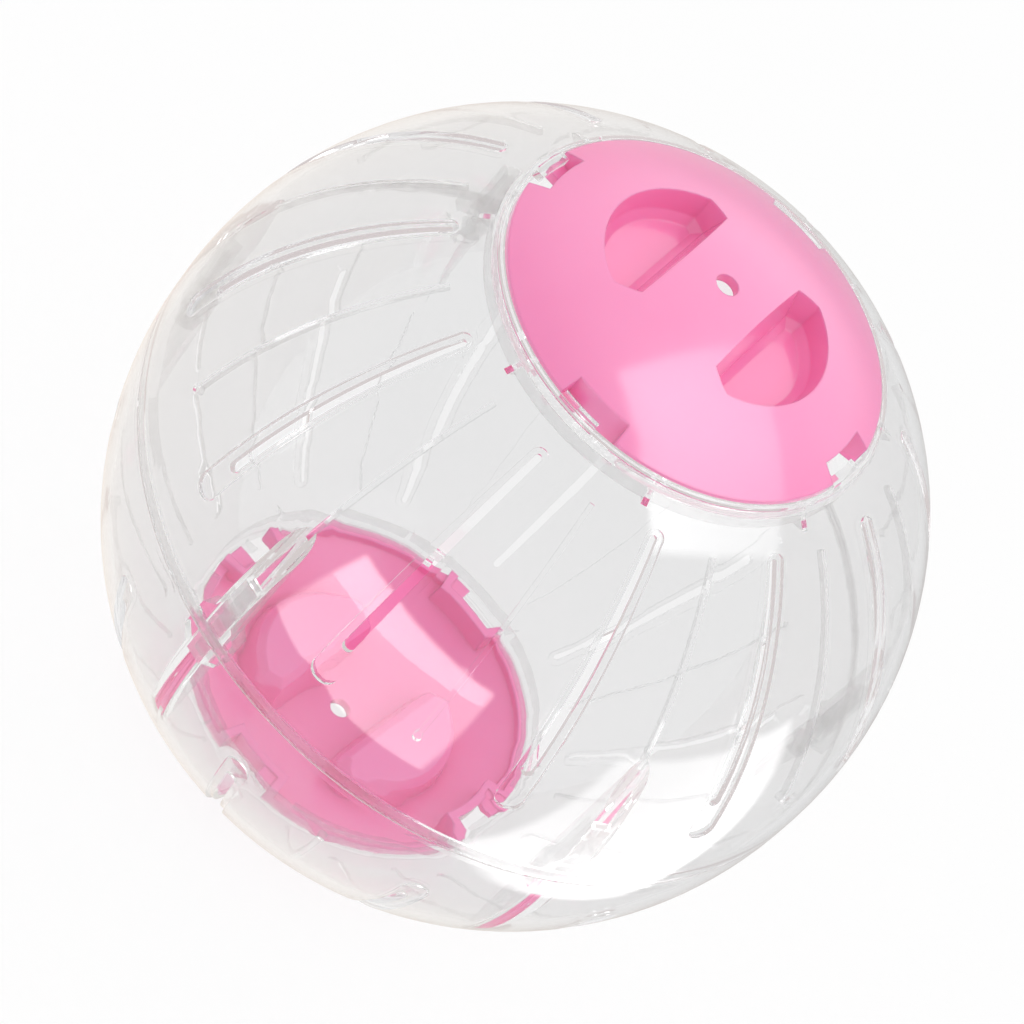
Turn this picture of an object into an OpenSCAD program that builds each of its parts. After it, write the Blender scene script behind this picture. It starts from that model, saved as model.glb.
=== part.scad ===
// Hamster ball: two clear half shells that snap together at the seam, each with a twist-off door at its pole.
// Millimetres. The origin is the ball's centre, and +Z runs out through the middle of the front door.
// Longitudes turn anticlockwise as seen from +Z, and -Y faces the viewer.

/* [Ball] */
// Diameter of each half's dome
ball_d = 120; // [112:1:150]
// Wall of the clear half shells
shell_wall = 1.5; // [1.3:0.1:2.2]
// Straight band of each half, from the seam to the start of its dome
band_h = 1.2; // [0.8:0.1:3]

/* [Seam] */
// Gap between the faces of the two halves
seam_gap = 0.2; // [0.1:0.05:0.4]
// Height of the lip that centres one half in the other
lip_h = 1.6; // [1:0.1:2.4]
// Thickness of the lip
lip_t = 0.6; // [0.4:0.05:0.7]
// Clearance all round the lip
lip_gap = 0.2; // [0.1:0.05:0.25]

/* [Vents] */
// Vent slots in each half, with a rib between each pair and a latch on every second rib
slot_count = 12; // [8:2:16]
// Width of the recess round a vent slot, as it would be at the seam
recess_w = 4.2; // [3:0.1:5]
// Depth of that recess
recess_depth = 0.6; // [0.3:0.05:0.9]
// Width of the through slot, as it would be at the seam
slot_w = 1.8; // [1.6:0.1:2.8]
// Height of the recess's lower end above the seam
recess_low_h = 12.2; // [11:0.1:18]
// Distance from the recess's lower end to the slot's lower end
slot_runout = 6.2; // [2:0.1:8]
// Distance along the dome from the collar to the recess's upper end
recess_top_gap = 5.6; // [3:0.1:9]
// Distance from the recess's upper end to the slot's upper end
slot_top_runout = 0.8; // [0.6:0.1:3]

/* [Ribs] */
// Width of the ribs inside the shell
rib_w = 0.7; // [0.5:0.1:1.1]
// Height of the ribs
rib_h = 0.8; // [0.4:0.1:1.4]
// Diameter of the round pip that ends a plain rib
rib_end_d = 1.3; // [1.2:0.1:3]
// Height of a plain rib's lower end above the seam
rib_low_h = 15; // [12:0.5:20]
// Distance along the dome from the collar to the ribs' upper ends
rib_top_gap = 6.8; // [4:0.1:10]

/* [Latches] */
// Width of the posts that carry the latches
post_w = 4.2; // [3.6:0.1:5]
// Depth of the posts, from the shell's inside to their nose
post_d = 5; // [4.6:0.1:6]
// Width of the shield-shaped blocks at the seam
block_w = 7.5; // [6:0.1:9]
// Height of each block above the seam
block_h = 5.2; // [4:0.1:7]
// Depth of the blocks
block_d = 2.6; // [2.2:0.1:3.4]
// Chamfer of the blocks' corners
block_chamfer = 2.2; // [1:0.1:2.6]
// Width of the snap tongues
tongue_w = 1.9; // [1.5:0.1:2.2]
// Thickness of the snap tongues
tongue_t = 1.2; // [0.9:0.1:1.3]
// Distance from the shell's inside to the middle of a tongue
tongue_inset = 2.3; // [2.1:0.1:2.5]
// Length of the free tongue inside the front half
tongue_h = 12; // [8:0.5:15]
// How far the tongues reach into the rear half
tongue_reach = 5.5; // [4:0.1:7]
// Barb on each tongue
barb = 0.3; // [0.2:0.05:0.35]
// Clearance round a tongue in its pocket
pocket_gap = 0.5; // [0.4:0.05:0.6]

/* [Collar] */
// Wall of the collar round each door
collar_wall = 0.9; // [0.8:0.1:1.4]
// Height of the collar above the dome
collar_rise = 0.4; // [0.4:0.1:2]
// How far the collar reaches below its seat
skirt_drop = 1.2; // [0.6:0.1:2.4]
// Thickness of the seat that the door rests on
seat_t = 1.2; // [1:0.1:2]
// Width of the seat under the door's edge
seat_w = 1.2; // [0.8:0.1:1.8]
// Gussets under the dome, round each collar
gusset_count = 8; // [4:1:12]
// Length of the gussets along the dome
gusset_len = 2; // [1:0.1:3]
// Thickness of the gussets
gusset_t = 0.9; // [0.6:0.1:1.4]
// Longitude of the first gusset, in degrees
gusset_lon = 25; // [20:0.5:30]

/* [Bayonet] */
// Tabs round each collar
tab_count = 4; // [3:1:4]
// Length of a tab round the collar
tab_len = 6.4; // [5:0.1:7]
// Thickness of a tab
tab_t = 1.3; // [1:0.1:1.5]
// How far a tab reaches in from the collar
tab_reach = 1.4; // [1.2:0.1:2.4]
// Clearance at each end of a tab
tab_end_gap = 0.25; // [0.2:0.05:0.4]
// Clearance under a tab
tab_lift = 0.3; // [0.2:0.05:0.4]
// Clearance between a tab and the notch's inner wall
notch_gap = 1.7; // [0.5:0.1:2]
// Length of the ledges that the tabs hold down
ledge_len = 3; // [2:0.1:4.5]
// Thickness of the ledges
ledge_t = 1.5; // [1:0.1:2]
// Longitude of the first tab, in degrees
tab_lon = -1.5; // [-8:0.5:8]

/* [Doors] */
// Diameter of each door
door_d = 59; // [57:0.2:64]
// Wall of the doors
door_wall = 1.5; // [1.2:0.1:1.8]
// Height of the door's edge
door_edge_h = 2.1; // [1.8:0.1:2.4]
// Width of the flat ring under the door's edge
door_edge_w = 1.6; // [1.2:0.1:2]
// Clearance round the door
door_gap = 0.3; // [0.2:0.05:0.4]
// Gap between the door and its seat
seat_gap = 0.2; // [0.1:0.05:0.3]
// Diameter of the hole for a stand's pin
pivot_d = 3.5; // [2.5:0.1:6]

/* [Finger grips] */
// Radius of each grip's round side
grip_r = 15.2; // [14.9:0.1:15.6]
// Distance from the pole to the middle of that round side
grip_reach = 18.9; // [18.5:0.1:19.3]
// Distance between the straight sides of the two grips
grip_gap = 13.2; // [12.6:0.1:14]
// Radius of the curve that rounds off both ends of a grip
grip_end_r = 14; // [13.8:0.1:14.2]
// Distance from the pole to the centre of that curve
grip_end_reach = 14.3; // [14.1:0.1:14.5]
// Depth of the grips' floors below the pole
grip_depth = 7.2; // [5.5:0.1:8]
// How far the grips' walls lean out over that depth
grip_draft = 1.8; // [0.3:0.1:2]
// Chamfer between the grips' walls and floors
grip_chamfer = 1.2; // [0.6:0.1:1.2]
// Longitude of the first grip, in degrees
grip_lon = 1; // [-10:0.5:10]

/* [Hidden] */
$fn = 96;
full_turn = 360;
// Round ends are this much wider than what they end, and a post's cheeks this much narrower than its nose
end_share = 1.02;
cheek_share = 0.97;
// Chamfer of the collar's rim as a share of its wall, and length of a barb's slopes as a share of its height
rim_share = 0.25;
barb_share = 4;
// Every cut runs this far past the face that it leaves
overrun = shell_wall;
// What is joined to a wall is sunk to the wall's middle
shell_bite = shell_wall / 2;
door_bite = door_wall / 2;
edge_break = collar_wall * rim_share;

dome_r = ball_d / 2;
dome_in_r = dome_r - shell_wall;
seam_z = seam_gap / 2;
pole_z = band_h + dome_r;
door_r = door_d / 2;
collar_in_r = door_r + door_gap;
collar_out_r = collar_in_r + collar_wall;
collar_top_z = dome_z(dome_r, collar_out_r) + collar_rise;
door_edge_z = dome_z(dome_r, door_r);
door_low_z = door_edge_z - door_edge_h;
seat_z = door_low_z - seat_gap;
seat_low_z = seat_z - seat_t;
collar_low_z = seat_low_z - skirt_drop;

slot_pitch = full_turn / slot_count;
latch_count = slot_count / 2;
latch_lon = slot_pitch / 2;
plain_rib_lon = latch_lon + slot_pitch;
collar_lat = acos(collar_out_r / dome_r);
recess_low_lat = asin((recess_low_h - band_h) / dome_r);
recess_top_lat = collar_lat - arc_deg(recess_top_gap, dome_r);
slot_low_lat = recess_low_lat + arc_deg(slot_runout, dome_r);
slot_top_lat = recess_top_lat - arc_deg(slot_top_runout, dome_r);
rib_low_lat = asin((rib_low_h - band_h) / dome_r);
rib_top_lat = collar_lat - arc_deg(rib_top_gap, dome_r);
post_nose_r = dome_in_r - post_d;
post_tip_lat = acos(post_nose_r / dome_in_r);
post_top_z = dome_z(dome_in_r + shell_bite, post_nose_r);
tongue_x = dome_in_r - tongue_inset;
pocket_w = tongue_w + 2 * pocket_gap;
pocket_t = tongue_t + 2 * pocket_gap;
catch_depth = tongue_reach + pocket_gap;
barb_h = barb * barb_share;

tab_z = collar_top_z - tab_t;
ledge_z = tab_z - tab_lift;
ledge_low_z = ledge_z - ledge_t;
housing_low_z = ledge_low_z - door_gap;
notch_r = collar_in_r - tab_reach - notch_gap;
tab_deg = arc_deg(tab_len, door_r);
// The door unlocks when it has turned by the length of a ledge
ledge_deg = arc_deg(ledge_len, door_r);
way_out_deg = arc_deg(tab_len + 2 * tab_end_gap, door_r);
notch_wall_deg = arc_deg(door_wall, door_r);
notch_start = -way_out_deg / 2;
notch_end = notch_start + ledge_deg + way_out_deg;
housing_end = notch_end + notch_wall_deg;
seat_break_deg = housing_end + arc_deg(door_gap, door_r);
// The same door moulding fits both ends, so the rear one is turned until its notches meet the rear tabs
rear_grip_lon = 2 * tab_lon - grip_lon;
grip_floor_z = pole_z - grip_depth;
grip_lean = grip_draft / grip_depth;

function arc_deg(length, radius) = length / radius * 180 / PI;
function end_deg(lat, turn) = asin(cos(lat) * sin(turn / 2));
function dome_z(radius, plan_r) = band_h + sqrt(radius * radius - plan_r * plan_r);

// Repeats its children round the axis
module around(count, first_lon) {
    for (i = [0 : count - 1]) rotate([0, 0, first_lon + i * full_turn / count]) children();
}

// Places its children on the dome's radius at a latitude, pointing outwards
module on_dome(lat, radius) {
    translate([0, 0, band_h]) rotate([0, 90 - lat, 0]) translate([0, 0, radius]) children();
}

// Flat slice of the dome between two radii and two latitudes
module dome_slice(in_r, out_r, low_lat, top_lat) {
    reach = out_r / cos((top_lat - low_lat) / 2) + overrun;
    translate([0, band_h]) intersection() {
        difference() {
            circle(r = out_r);
            circle(r = in_r);
        }
        polygon([
            [0, 0],
            [reach * cos(low_lat), reach * sin(low_lat)],
            [reach * cos(top_lat), reach * sin(top_lat)]
        ]);
    }
}

// Ring of rectangular section between two longitudes
module ring_sector(in_r, out_r, low_z, top_z, start, end) {
    rotate([0, 0, start]) rotate_extrude(angle = end - start)
        translate([in_r, low_z]) square([out_r - in_r, top_z - low_z]);
}

// Ball about the dome's centre
module dome_ball(radius) {
    translate([0, 0, band_h]) sphere(r = radius);
}

// Round end of a cut along a meridian: a cone from the dome's centre, a hair wider than the cut
module meridian_end(lat, turn) {
    cone_share = tan(end_deg(lat, turn) * end_share);
    in_r = dome_in_r - overrun;
    out_r = dome_r + overrun;
    on_dome(lat, in_r) cylinder(r1 = in_r * cone_share, r2 = out_r * cone_share, h = out_r - in_r);
}

// Cut right through the dome along a meridian, between meridian planes and round ends
module meridian_cut(width, low_lat, top_lat) {
    turn = arc_deg(width, dome_r);
    low_centre = low_lat + end_deg(low_lat, turn);
    top_centre = top_lat - end_deg(top_lat, turn);
    in_r = dome_in_r - 2 * overrun;
    out_r = dome_r / cos((top_centre - low_centre) / 2) + overrun;
    rotate([0, 0, -turn / 2]) rotate_extrude(angle = turn) translate([0, band_h]) polygon([
        [in_r * cos(low_centre), in_r * sin(low_centre)],
        [out_r * cos(low_centre), out_r * sin(low_centre)],
        [out_r * cos(top_centre), out_r * sin(top_centre)],
        [in_r * cos(top_centre), in_r * sin(top_centre)]
    ]);
    meridian_end(low_centre, turn);
    meridian_end(top_centre, turn);
}

// Shallow recesses round the vent slots
module recesses() {
    difference() {
        around(slot_count, 0) meridian_cut(recess_w, recess_low_lat, recess_top_lat);
        dome_ball(dome_r - recess_depth);
    }
}

// Vent slots through the recesses' floors
module slots() {
    around(slot_count, 0) meridian_cut(slot_w, slot_low_lat, slot_top_lat);
}

// Rib on the inside of the shell
module rib(low_lat) {
    rotate([90, 0, 0]) linear_extrude(height = rib_w, center = true)
        dome_slice(dome_in_r - rib_h, dome_in_r + shell_bite, low_lat, rib_top_lat);
}

module plain_rib() {
    pip_h = rib_h + edge_break;
    rib(rib_low_lat);
    on_dome(rib_low_lat, dome_in_r - pip_h) cylinder(d = rib_end_d, h = pip_h + shell_bite);
}

// Upright post that fades into the dome, which gives it its leaf shape
module post() {
    nose_r = post_w / 2;
    cheek = nose_r * cheek_share;
    intersection() {
        translate([post_nose_r + nose_r, 0, seam_z]) linear_extrude(height = post_top_z - seam_z) {
            circle(r = nose_r);
            translate([0, -cheek]) square([post_d - nose_r + shell_bite, 2 * cheek]);
        }
        dome_ball(dome_in_r + shell_bite);
    }
}

// Shield-shaped block that carries the latch at the seam
module block() {
    side = block_w / 2;
    intersection() {
        translate([dome_in_r - block_d, 0, 0]) rotate([90, 0, 90])
            linear_extrude(height = block_d + shell_bite) polygon([
                [-side, seam_z],
                [side, seam_z],
                [side, block_h - block_chamfer],
                [side - block_chamfer, block_h],
                [block_chamfer - side, block_h],
                [-side, block_h - block_chamfer]
            ]);
        dome_ball(dome_in_r + shell_bite);
    }
}

// Pocket for a tongue, open at the seam
module pocket(depth) {
    translate([tongue_x - pocket_t / 2, -pocket_w / 2, seam_z - overrun])
        cube([pocket_t, pocket_w, depth + overrun - seam_z]);
}

// Window in a rear post's nose, where the barb shows
module catch_window() {
    translate([post_nose_r - overrun, -pocket_w / 2, catch_depth - 2 * barb_h - pocket_gap])
        cube([tongue_x - post_nose_r + overrun, pocket_w, 2 * barb_h]);
}

// Snap tongue, from the pocket's ceiling in the front half down into the rear half
module tongue() {
    in_x = tongue_x - tongue_t / 2;
    out_x = tongue_x + tongue_t / 2;
    rotate([90, 0, 0]) linear_extrude(height = tongue_w, center = true) polygon([
        [in_x, tongue_h + pocket_gap],
        [in_x, 2 * barb_h - tongue_reach],
        [in_x - barb, barb_h - tongue_reach],
        [in_x + barb, -tongue_reach],
        [out_x - barb, -tongue_reach],
        [out_x, barb_h - tongue_reach],
        [out_x, tongue_h + pocket_gap]
    ]);
}

// Section of the shell and its collar, with a lip below the seam where one is given
module half_section(lip) {
    intersection() {
        dome_slice(dome_in_r, dome_r, 0, 90);
        translate([collar_in_r, 0]) square([dome_r, pole_z]);
    }
    translate([dome_in_r, seam_z]) square([shell_wall, band_h - seam_z]);
    if (lip > 0) translate([dome_in_r, -lip]) square([lip_t, lip + band_h]);
    polygon([
        [collar_in_r, collar_low_z],
        [collar_out_r, collar_low_z],
        [collar_out_r, collar_top_z - edge_break],
        [collar_out_r - edge_break, collar_top_z],
        [collar_in_r, collar_top_z]
    ]);
}

// Gusset between the collar and the dome's inside
module gusset() {
    foot_r = collar_out_r + gusset_len;
    root_r = collar_out_r - edge_break;
    rotate([90, 0, 0]) linear_extrude(height = gusset_t, center = true) polygon([
        [root_r, collar_low_z + edge_break],
        [collar_out_r, collar_low_z + edge_break],
        [foot_r, dome_z(dome_in_r, foot_r)],
        [foot_r, dome_z(dome_in_r, foot_r) + shell_bite],
        [root_r, dome_z(dome_in_r, collar_out_r) + shell_bite]
    ]);
}

// Everything that the two halves have in common, for the half above the seam
module half_body(lip) {
    difference() {
        union() {
            rotate_extrude() half_section(lip);
            around(latch_count, plain_rib_lon) plain_rib();
            around(latch_count, latch_lon) {
                rib(post_tip_lat - arc_deg(post_w, dome_r));
                post();
                block();
            }
            around(gusset_count, gusset_lon) gusset();
        }
        recesses();
        slots();
    }
    around(tab_count, tab_lon) {
        ring_sector(collar_in_r - tab_reach, collar_in_r + edge_break, tab_z, collar_top_z,
            -tab_deg / 2, tab_deg / 2);
        ring_sector(door_r - seat_w, collar_in_r + edge_break, seat_low_z, seat_z,
            seat_break_deg, full_turn / tab_count - seat_break_deg);
    }
}

// Section through a leaning wall of a grip and the chamfer at its floor, from the wall's centre
module grip_section(radius, low_z) {
    chamfer_z = low_z + grip_chamfer;
    top_z = pole_z + overrun;
    polygon([
        [0, low_z],
        [radius + (chamfer_z - pole_z) * grip_lean - grip_chamfer, low_z],
        [radius + (chamfer_z - pole_z) * grip_lean, chamfer_z],
        [radius + (top_z - pole_z) * grip_lean, top_z],
        [0, top_z]
    ]);
}

// D-shaped grip, grown on all sides by a wall where one is given
module grip(grow, low_z) {
    far_x = grip_reach + door_wall + overrun;
    intersection() {
        translate([grip_reach - grip_r, 0, 0]) rotate_extrude() grip_section(grip_r + grow, low_z);
        translate([grip_end_reach, 0, 0]) rotate_extrude() grip_section(grip_end_r + grow, low_z);
        translate([far_x, 0, 0]) rotate([90, 0, 180]) linear_extrude(height = 2 * far_x, center = true)
            grip_section(far_x - grip_gap / 2 + grow, low_z);
    }
}

// Section of the door's dome and of the flat ring under its edge, past where the edge is trimmed
module door_section() {
    intersection() {
        dome_slice(dome_r - door_wall, dome_r, 0, 90);
        square([door_r + overrun, pole_z]);
    }
    translate([door_r - door_edge_w, door_low_z])
        square([door_edge_w + overrun, door_edge_h - door_bite]);
}

// Walls round one bayonet notch
module notch_housing() {
    ring_sector(notch_r - door_wall, door_r + overrun, housing_low_z, pole_z,
        notch_start - notch_wall_deg, housing_end);
}

// Notch for a tab, open at the door's edge and right through the housing
module notch_cut() {
    ring_sector(notch_r, door_r + 2 * overrun, housing_low_z - overrun, pole_z, notch_start, notch_end);
}

// Ledge across the first part of a notch, sunk into the housing's walls; past it is the tab's way out
module ledge() {
    ring_sector(notch_r - door_bite, door_r - door_gap, ledge_low_z, ledge_z,
        notch_start - notch_wall_deg / 2, notch_start + ledge_deg);
}

// Door moulding, with its first grip at longitude 0
module door_moulding() {
    difference() {
        intersection() {
            union() {
                rotate_extrude() door_section();
                intersection() {
                    union() {
                        around(2, 0) grip(door_wall, grip_floor_z - door_wall);
                        around(tab_count, tab_lon - grip_lon) notch_housing();
                    }
                    dome_ball(dome_r - door_bite);
                }
            }
            cylinder(r = door_r, h = pole_z + overrun);
        }
        around(2, 0) grip(0, grip_floor_z);
        around(tab_count, tab_lon - grip_lon) notch_cut();
        translate([0, 0, grip_floor_z]) cylinder(d = pivot_d, h = grip_depth + overrun);
    }
    around(tab_count, tab_lon - grip_lon) ledge();
}

module rear_shell() {
    color("white", 0.35) mirror([0, 0, 1]) difference() {
        half_body(lip_h);
        around(latch_count, latch_lon) {
            pocket(catch_depth);
            catch_window();
        }
    }
}

module front_shell() {
    color("white", 0.35) {
        difference() {
            half_body(0);
            around(latch_count, latch_lon) pocket(tongue_h);
            rotate_extrude() translate([dome_in_r - lip_gap, 0])
                square([lip_t + 2 * lip_gap, lip_h + lip_gap]);
        }
        around(latch_count, latch_lon) tongue();
    }
}

module rear_door() {
    color("hotpink") rotate([0, 0, rear_grip_lon]) rotate([180, 0, 0]) door_moulding();
}

module front_door() {
    color("hotpink") rotate([0, 0, grip_lon]) door_moulding();
}

rear_shell();
front_shell();
rear_door();
front_door();
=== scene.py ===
"""Looks for the hamster ball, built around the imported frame.

Metres, in the row frame, +Z out through the front door.
"""

import math

import bpy
from mathutils import Matrix, Vector


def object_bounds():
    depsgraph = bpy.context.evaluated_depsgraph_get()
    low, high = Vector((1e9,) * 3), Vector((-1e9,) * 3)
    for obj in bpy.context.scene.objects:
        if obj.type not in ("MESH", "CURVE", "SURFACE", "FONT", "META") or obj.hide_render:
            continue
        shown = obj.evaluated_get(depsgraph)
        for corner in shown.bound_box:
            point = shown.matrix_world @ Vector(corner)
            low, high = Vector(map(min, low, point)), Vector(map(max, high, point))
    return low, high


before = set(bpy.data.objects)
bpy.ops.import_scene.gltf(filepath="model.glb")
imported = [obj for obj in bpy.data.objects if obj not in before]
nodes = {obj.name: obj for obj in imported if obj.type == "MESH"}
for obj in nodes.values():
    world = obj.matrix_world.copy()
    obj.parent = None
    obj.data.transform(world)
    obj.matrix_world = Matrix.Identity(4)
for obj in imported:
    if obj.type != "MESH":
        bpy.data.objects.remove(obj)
cad_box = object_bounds()

SHELLS = ("rear_shell", "front_shell")
DOORS = ("rear_door", "front_door")

BALL_R = 0.06
FLOOR_GAP = 0.0002
FLOOR_Z = cad_box[0][2] - FLOOR_GAP
FLOOR_HALF = 3.0

# Camera, fitted to the ball's outline, the doors and the slots of the photograph
EYE_DISTANCE = 9 * BALL_R
EYE_AZIMUTH = -85.2
EYE_ELEVATION = 46.0
EYE_ROLL = 42.5
SENSOR = 36.0
FOCAL_PX = 3677.0
IMAGE_PX = 1024.0
BALL_PX = (514.8, 517.2)
CLIP_START = 0.01

# Bounces: through refracting walls, through plainly clear ones, and between dull surfaces
WALL_BOUNCES = 32
PLAIN_BOUNCES = 64
DIFFUSE_BOUNCES = 4

# Angles in degrees above which an edge is shaded sharp
SHELL_SHARP = 30
DOOR_SHARP = 50

# Noise values at which a drifting tint reaches its two ends
TINT_START = 0.35
TINT_END = 0.65

# Tints, each drifting between two
CLEAR_TINTS = ((0.892, 0.893, 0.895), (0.912, 0.913, 0.915))
PINK_TINTS = ((0.95, 0.25, 0.515), (0.96, 0.265, 0.53))
FLOOR_TINTS = ((0.91, 0.91, 0.91), (0.93, 0.93, 0.93))

# Ray depth at which a ray leaves the near wall, which it enters at depth 0
NEAR_DEPTH = 1

# Share of the walls behind the near one that is plainly clear, and the light such a face lets through
PLAIN_SHARE = 0.86
PLAIN_LEVEL = 0.947

# Ray depth after which a ray in the clear plastic ends in a painted pale glow, standing in for light piped
# along a wall, and the glow's colour
PIPED_DEPTH = 7
PAINTED_PIPED_GLOW = (0.69, 0.63, 0.63)

# Share of the floor's look that is plain white, the rest being the light and shadow on it
FLOOR_WHITE_SHARE = 0.86

# Colours of light: round the object, on the object, and in its gloss
WHITE = (0.98, 0.98, 0.98)
FILL_WEAK = (0.57, 0.57, 0.57)
FILL_STRONG = (1.03, 1.03, 1.03)
WALLS = (0.72, 0.72, 0.72)
WARM_WALL = (0.95, 0.87, 0.79)
GREY_WALL = (0.55, 0.55, 0.55)
CEILING = (1.5, 1.5, 1.5)

# Zones of the light: the side each lies on, the cosines between which it fades in, and its colour
FILL_ZONES = (
    ((0.2, 0.6, 0.6), -1.0, 1.0, FILL_STRONG),
)
WALL_ZONES = (
    ((-0.75, 0.1, -0.65), 0.05, 0.55, WARM_WALL),
    ((0.6, 0.8, -0.1), 0.35, 0.85, GREY_WALL),
    ((0.0, 0.62, 0.78), 0.6, 0.9, CEILING),
)

# Softboxes: where each stands, the direction of its first side, and its two sides
ABOVE_BOX = {"centre": (0.388, 0.143, 0.872), "across": (0.38, 0.90, -0.23), "size": (0.78, 0.94)}
SIDE_BOX = {"centre": (0.868, -0.05, -0.495), "across": (0.037, 0.999, -0.035), "size": (0.92, 0.92)}
FRONT_BOX = {"centre": (0.084, -0.977, -0.194), "across": (0.985, 0.111, -0.133), "size": (0.95, 0.64)}

# Radiances of the softboxes
ABOVE = 0.8
ABOVE_GLEAM = 2.5
SIDE = 3.6
FRONT = 4.7

# The gleam above stands nearer than its softbox, because two lamps in one place hide each other in the gloss
GLEAM_REACH = 0.95

# Shares of a softbox's sides over which its edges fade, and the level at the far end of those above
EDGE = 0.08
FRONT_EDGE = 0.05
ABOVE_END = 0.4


# Camera and renderer

def direction(azimuth, elevation):
    """Unit vector at an azimuth from +X and an elevation above the seam's plane, in degrees."""
    turn = math.radians(azimuth)
    rise = math.radians(elevation)
    return Vector((math.cos(rise) * math.cos(turn), math.cos(rise) * math.sin(turn), math.sin(rise)))


def add_camera():
    eye = direction(EYE_AZIMUTH, EYE_ELEVATION) * EYE_DISTANCE
    data = bpy.data.cameras.new("camera")
    data.sensor_width = SENSOR
    data.lens = FOCAL_PX / IMAGE_PX * SENSOR
    data.shift_x = (IMAGE_PX / 2 - BALL_PX[0]) / IMAGE_PX
    data.shift_y = (BALL_PX[1] - IMAGE_PX / 2) / IMAGE_PX
    data.clip_start = CLIP_START
    camera = bpy.data.objects.new("camera", data)
    bpy.context.scene.collection.objects.link(camera)
    aim = (-eye).to_track_quat("-Z", "Y").to_matrix().to_4x4()
    roll = Matrix.Rotation(math.radians(EYE_ROLL), 4, "Z")
    camera.matrix_world = Matrix.Translation(eye) @ aim @ roll
    bpy.context.scene.camera = camera


def set_renderer():
    """Plain display colours, and bounces enough for rays that cross many clear walls."""
    scene = bpy.context.scene
    scene.view_settings.view_transform = "Standard"
    scene.cycles.max_bounces = WALL_BOUNCES
    scene.cycles.transmission_bounces = WALL_BOUNCES
    scene.cycles.glossy_bounces = WALL_BOUNCES
    scene.cycles.diffuse_bounces = DIFFUSE_BOUNCES
    scene.cycles.transparent_max_bounces = PLAIN_BOUNCES


# Nodes

def feed(tree, value, socket):
    """Links another node's output to a socket, or sets the socket to a plain value."""
    if isinstance(value, bpy.types.NodeSocket):
        tree.links.new(value, socket)
    else:
        socket.default_value = value


def compute(tree, operation, *values):
    """Result of a Math node on outputs or numbers."""
    node = tree.nodes.new("ShaderNodeMath")
    node.operation = operation
    for value, socket in zip(values, node.inputs):
        feed(tree, value, socket)
    return node.outputs["Value"]


def dot_product(tree, first, second):
    node = tree.nodes.new("ShaderNodeVectorMath")
    node.operation = "DOT_PRODUCT"
    feed(tree, first, node.inputs[0])
    feed(tree, second, node.inputs[1])
    return node.outputs["Value"]


def smooth_rise(tree, value, start, end):
    """Goes smoothly from 0 to 1 as the value goes from the start to the end."""
    rise = tree.nodes.new("ShaderNodeMapRange")
    rise.interpolation_type = "SMOOTHSTEP"
    rise.inputs["From Min"].default_value = start
    rise.inputs["From Max"].default_value = end
    tree.links.new(value, rise.inputs["Value"])
    return rise.outputs["Result"]


def add_noise(tree, scale, detail):
    """Noise in the object's own coordinates."""
    place = tree.nodes.new("ShaderNodeTexCoord")
    noise = tree.nodes.new("ShaderNodeTexNoise")
    noise.inputs["Scale"].default_value = scale
    noise.inputs["Detail"].default_value = detail
    tree.links.new(place.outputs["Object"], noise.inputs["Vector"])
    return noise.outputs["Fac"]


def add_bump(tree, height, strength, distance, under=None):
    """Bumps from a height, over another normal where one is given."""
    bump = tree.nodes.new("ShaderNodeBump")
    bump.inputs["Strength"].default_value = strength
    bump.inputs["Distance"].default_value = distance
    tree.links.new(height, bump.inputs["Height"])
    if under:
        tree.links.new(under, bump.inputs["Normal"])
    return bump.outputs["Normal"]


def add_tint(tree, factor, tints):
    """Colour that drifts between two tints."""
    ramp = tree.nodes.new("ShaderNodeValToRGB")
    for element, position, tint in zip(ramp.color_ramp.elements, (TINT_START, TINT_END), tints):
        element.position = position
        element.color = (*tint, 1)
    tree.links.new(factor, ramp.inputs["Fac"])
    return ramp.outputs["Color"]


def any_ray(tree, *kinds):
    """One where the ray is of any of the kinds named, else zero."""
    path = tree.nodes.new("ShaderNodeLightPath")
    value = path.outputs[kinds[0]]
    for kind in kinds[1:]:
        value = compute(tree, "MAXIMUM", value, path.outputs[kind])
    return value


def deeper(tree, depth):
    """One where the ray has bounced or refracted more often than the depth, else zero."""
    path = tree.nodes.new("ShaderNodeLightPath")
    return compute(tree, "GREATER_THAN", path.outputs["Ray Depth"], depth)


def facing_out(tree):
    """One on surfaces that face away from the ball's centre, else zero."""
    place = tree.nodes.new("ShaderNodeTexCoord")
    outwards = dot_product(tree, place.outputs["Object"], place.outputs["Normal"])
    return compute(tree, "GREATER_THAN", outwards, 0.0)


def towards(tree, side, start, end):
    """Goes smoothly from 0 to 1 as the direction looked in turns towards a side, between two cosines."""
    place = tree.nodes.new("ShaderNodeTexCoord")
    cosine = dot_product(tree, place.outputs["Generated"], Vector(side).normalized())
    return smooth_rise(tree, cosine, start, end)


def add_mix(tree, factor, first, second):
    mix = tree.nodes.new("ShaderNodeMixShader")
    tree.links.new(factor, mix.inputs["Fac"])
    tree.links.new(first, mix.inputs[1])
    tree.links.new(second, mix.inputs[2])
    return mix.outputs["Shader"]


def add_glow(tree, color):
    glow = tree.nodes.new("ShaderNodeEmission")
    glow.inputs["Color"].default_value = (*color, 1)
    glow.inputs["Strength"].default_value = 1.0
    return glow.outputs["Emission"]


def add_clear(tree, level):
    """Plainly clear shader that lets a level of the light through, without refracting it."""
    clear = tree.nodes.new("ShaderNodeBsdfTransparent")
    clear.inputs["Color"].default_value = (level, level, level, 1)
    return clear.outputs["BSDF"]


def add_sky(tree, color):
    sky = tree.nodes.new("ShaderNodeBackground")
    sky.inputs["Color"].default_value = (*color, 1)
    sky.inputs["Strength"].default_value = 1.0
    return sky.outputs["Background"]


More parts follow.
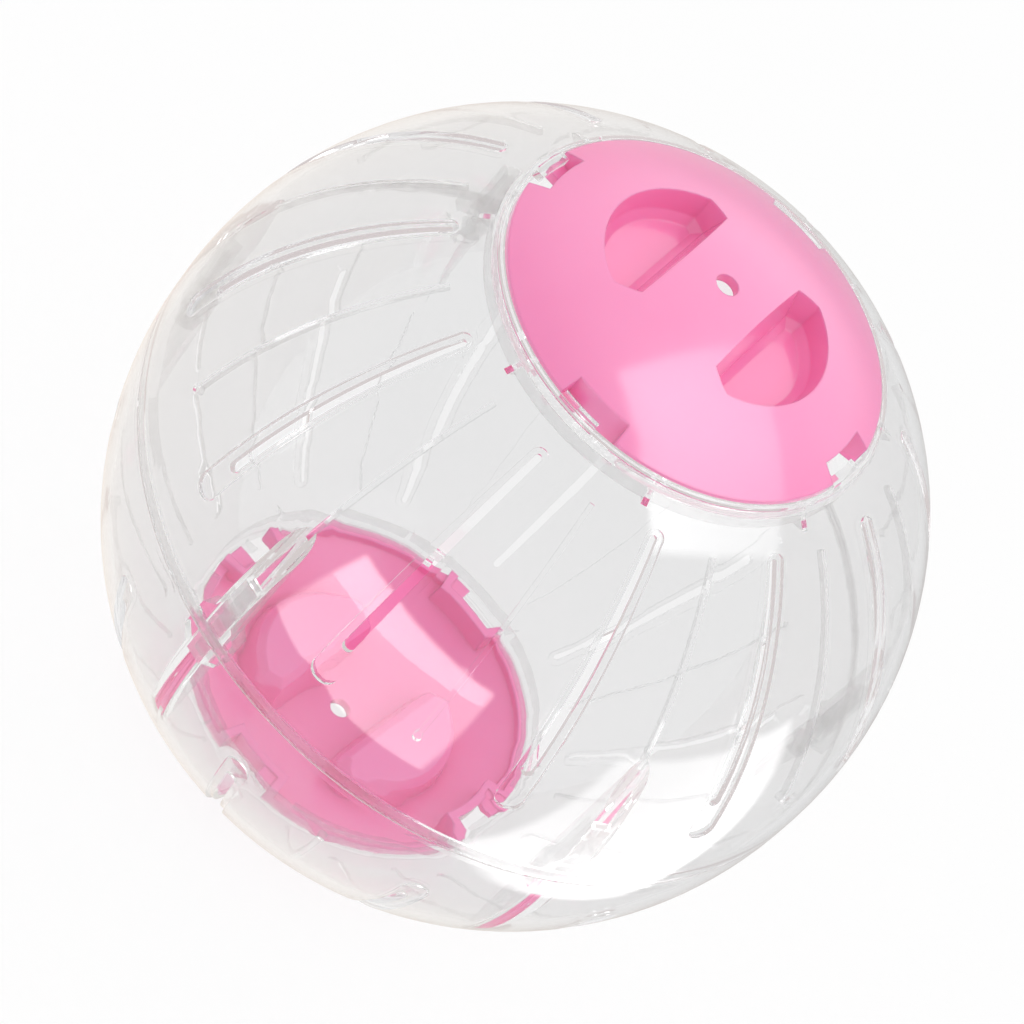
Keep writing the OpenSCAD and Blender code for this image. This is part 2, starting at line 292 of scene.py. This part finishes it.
def add_zones(tree, base, zones):
    """Sky of one colour, with zones of other colours blended in."""
    sky = add_sky(tree, base)
    for side, start, end, color in zones:
        sky = add_mix(tree, towards(tree, side, start, end), sky, add_sky(tree, color))
    return sky


def show(tree, shader):
    tree.links.new(shader, tree.nodes["Material Output"].inputs["Surface"])


# Materials

def new_material(name):
    material = bpy.data.materials.new(name)
    material.use_nodes = True
    return material, material.node_tree, material.node_tree.nodes["Principled BSDF"]


def clear_plastic():
    """Clear moulded plastic that refracts, with a faint waviness, and lets light through to what is inside.

    Behind the near wall most of it is plainly clear, so that the far half's slots and ribs stay faint.
    Mirrored rays meet the true plastic, and rays piped far along a wall end in a painted pale glow that
    stands in for the light they would carry.
    """
    material, tree, bsdf = new_material("clear_plastic")
    tint = add_tint(tree, add_noise(tree, scale=18.0, detail=2.0), CLEAR_TINTS)
    tree.links.new(tint, bsdf.inputs["Base Color"])
    bsdf.inputs["Roughness"].default_value = 0.02
    bsdf.inputs["IOR"].default_value = 1.5
    bsdf.inputs["Transmission Weight"].default_value = 1.0
    flow_noise = add_noise(tree, scale=34.0, detail=1.5)
    flow = add_bump(tree, flow_noise, strength=0.10, distance=0.0006)
    ripple_noise = add_noise(tree, scale=190.0, detail=2.0)
    ripple = add_bump(tree, ripple_noise, strength=0.05, distance=0.00012, under=flow)
    tree.links.new(ripple, bsdf.inputs["Normal"])
    plastic = bsdf.outputs["BSDF"]
    plain_share = compute(tree, "MULTIPLY", deeper(tree, NEAR_DEPTH), PLAIN_SHARE)
    seen = add_mix(tree, plain_share, plastic, add_clear(tree, PLAIN_LEVEL))
    seen = add_mix(tree, any_ray(tree, "Is Reflection Ray"), seen, plastic)
    # Painted glow: past the piping depth the plastic shows a fixed pale emission instead of carried light
    seen = add_mix(tree, deeper(tree, PIPED_DEPTH), seen, add_glow(tree, PAINTED_PIPED_GLOW))
    unseen = any_ray(tree, "Is Shadow Ray", "Is Diffuse Ray")
    show(tree, add_mix(tree, unseen, seen, add_clear(tree, 1.0)))
    return material


def pink_plastic():
    """Opaque pink plastic with broken edges and a fine grain, polished outside and plainer inside."""
    material, tree, bsdf = new_material("pink_plastic")
    tint = add_tint(tree, add_noise(tree, scale=55.0, detail=3.0), PINK_TINTS)
    tree.links.new(tint, bsdf.inputs["Base Color"])
    bsdf.inputs["Roughness"].default_value = 0.22
    bsdf.inputs["IOR"].default_value = 1.49
    tree.links.new(facing_out(tree), bsdf.inputs["Coat Weight"])
    bsdf.inputs["Coat Roughness"].default_value = 0.06
    bsdf.inputs["Subsurface Weight"].default_value = 0.2
    bsdf.inputs["Subsurface Radius"].default_value = (0.004, 0.0015, 0.002)
    bsdf.inputs["Subsurface Scale"].default_value = 0.5
    rounded = tree.nodes.new("ShaderNodeBevel")
    rounded.samples = 6
    rounded.inputs["Radius"].default_value = 0.0005
    flow_noise = add_noise(tree, scale=60.0, detail=1.0)
    flow = add_bump(tree, flow_noise, strength=0.04, distance=0.0004, under=rounded.outputs["Normal"])
    grain_noise = add_noise(tree, scale=1400.0, detail=2.0)
    grain = add_bump(tree, grain_noise, strength=0.05, distance=0.00005, under=flow)
    tree.links.new(grain, bsdf.inputs["Normal"])
    return material


def floor_material():
    """Pale floor that takes light and shadow and shows as nearly white, like the photograph's background."""
    material, tree, bsdf = new_material("floor")
    tint = add_tint(tree, add_noise(tree, scale=6.0, detail=2.0), FLOOR_TINTS)
    tree.links.new(tint, bsdf.inputs["Base Color"])
    bsdf.inputs["Roughness"].default_value = 0.9
    seen = any_ray(tree, "Is Camera Ray", "Is Transmission Ray", "Is Glossy Ray")
    white_share = compute(tree, "MULTIPLY", seen, FLOOR_WHITE_SHARE)
    show(tree, add_mix(tree, white_share, bsdf.outputs["BSDF"], add_glow(tree, (1, 1, 1))))
    return material


def dress(names, material, sharp_angle):
    """Gives CAD nodes a material, and smooth shading that keeps edges sharper than the angle."""
    for name in names:
        mesh = nodes[name].data
        mesh.materials.clear()
        mesh.materials.append(material)
        mesh.shade_smooth()
        mesh.set_sharp_from_angle(angle=math.radians(sharp_angle))


# Stage

def add_floor():
    """Floor that gloss doesn't mirror, because part of the studio and two softboxes lie below it."""
    mesh = bpy.data.meshes.new("floor")
    signs = ((-1, -1), (1, -1), (1, 1), (-1, 1))
    corners = [(x * FLOOR_HALF, y * FLOOR_HALF, FLOOR_Z) for x, y in signs]
    mesh.from_pydata(corners, [], [(0, 1, 2, 3)])
    mesh.materials.append(floor_material())
    floor = bpy.data.objects.new("floor", mesh)
    bpy.context.scene.collection.objects.link(floor)
    floor.visible_glossy = False


def add_world():
    """White for the camera and through clear plastic, a fill on the object, and a studio in its gloss.

    The fill is strongest from above and behind. The studio is warm beside and under the ball, grey behind
    it, and bright overhead.
    """
    world = bpy.data.worlds.new("world")
    bpy.context.scene.world = world
    world.use_nodes = True
    tree = world.node_tree
    tree.nodes.clear()
    fill = add_zones(tree, FILL_WEAK, FILL_ZONES)
    studio = add_zones(tree, WALLS, WALL_ZONES)
    lit = add_mix(tree, any_ray(tree, "Is Glossy Ray"), fill, studio)
    seen = any_ray(tree, "Is Camera Ray", "Is Transmission Ray")
    both = add_mix(tree, seen, lit, add_sky(tree, WHITE))
    tree.links.new(both, tree.nodes.new("ShaderNodeOutputWorld").inputs["Surface"])


def add_softbox(name, box, radiance, reach=1.0):
    """Rectangular softbox that faces the ball, drawn in or out to a share of its distance and sides."""
    data = bpy.data.lights.new(name, "AREA")
    data.shape = "RECTANGLE"
    data.size = box["size"][0] * reach
    data.size_y = box["size"][1] * reach
    data.energy = radiance * math.pi * data.size * data.size_y
    softbox = bpy.data.objects.new(name, data)
    bpy.context.scene.collection.objects.link(softbox)
    at = Vector(box["centre"]) * reach
    back = at.normalized()
    across = Vector(box["across"])
    across = (across - back * across.dot(back)).normalized()
    up = back.cross(across)
    turn = Matrix((across, up, back)).transposed().to_4x4()
    softbox.matrix_world = Matrix.Translation(at) @ turn
    return softbox


def soften(softbox, margin, end_level=1.0):
    """Fades a softbox's light out over a margin at its edges, and down to a level towards one end."""
    half = 0.5
    softbox.data.use_nodes = True
    tree = softbox.data.node_tree
    place = tree.nodes.new("ShaderNodeNewGeometry")
    parts = tree.nodes.new("ShaderNodeSeparateXYZ")
    tree.links.new(place.outputs["Parametric"], parts.inputs["Vector"])
    slope = tree.nodes.new("ShaderNodeMapRange")
    slope.inputs["To Min"].default_value = 1.0
    slope.inputs["To Max"].default_value = end_level
    tree.links.new(parts.outputs["X"], slope.inputs["Value"])
    level = slope.outputs["Result"]
    for axis in ("X", "Y"):
        off_centre = compute(tree, "ABSOLUTE", compute(tree, "SUBTRACT", parts.outputs[axis], half))
        level = compute(tree, "MULTIPLY", level, smooth_rise(tree, off_centre, half, half - margin))
    tree.links.new(level, tree.nodes["Emission"].inputs["Strength"])
    return softbox


def gleam(softbox):
    """Keeps a softbox to gloss, so that it is mirrored without lighting what it faces."""
    softbox.visible_diffuse = False


def add_lights():
    """One softbox that lights the ball from above, and three that only show in its gloss."""
    soften(add_softbox("softbox_above", ABOVE_BOX, ABOVE), EDGE, ABOVE_END)
    gleam(soften(add_softbox("gleam_above", ABOVE_BOX, ABOVE_GLEAM, GLEAM_REACH), EDGE, ABOVE_END))
    gleam(soften(add_softbox("gleam_side", SIDE_BOX, SIDE), EDGE))
    gleam(soften(add_softbox("gleam_front", FRONT_BOX, FRONT), FRONT_EDGE))


add_camera()
set_renderer()
dress(SHELLS, clear_plastic(), SHELL_SHARP)
dress(DOORS, pink_plastic(), DOOR_SHARP)
add_floor()
add_world()
add_lights()
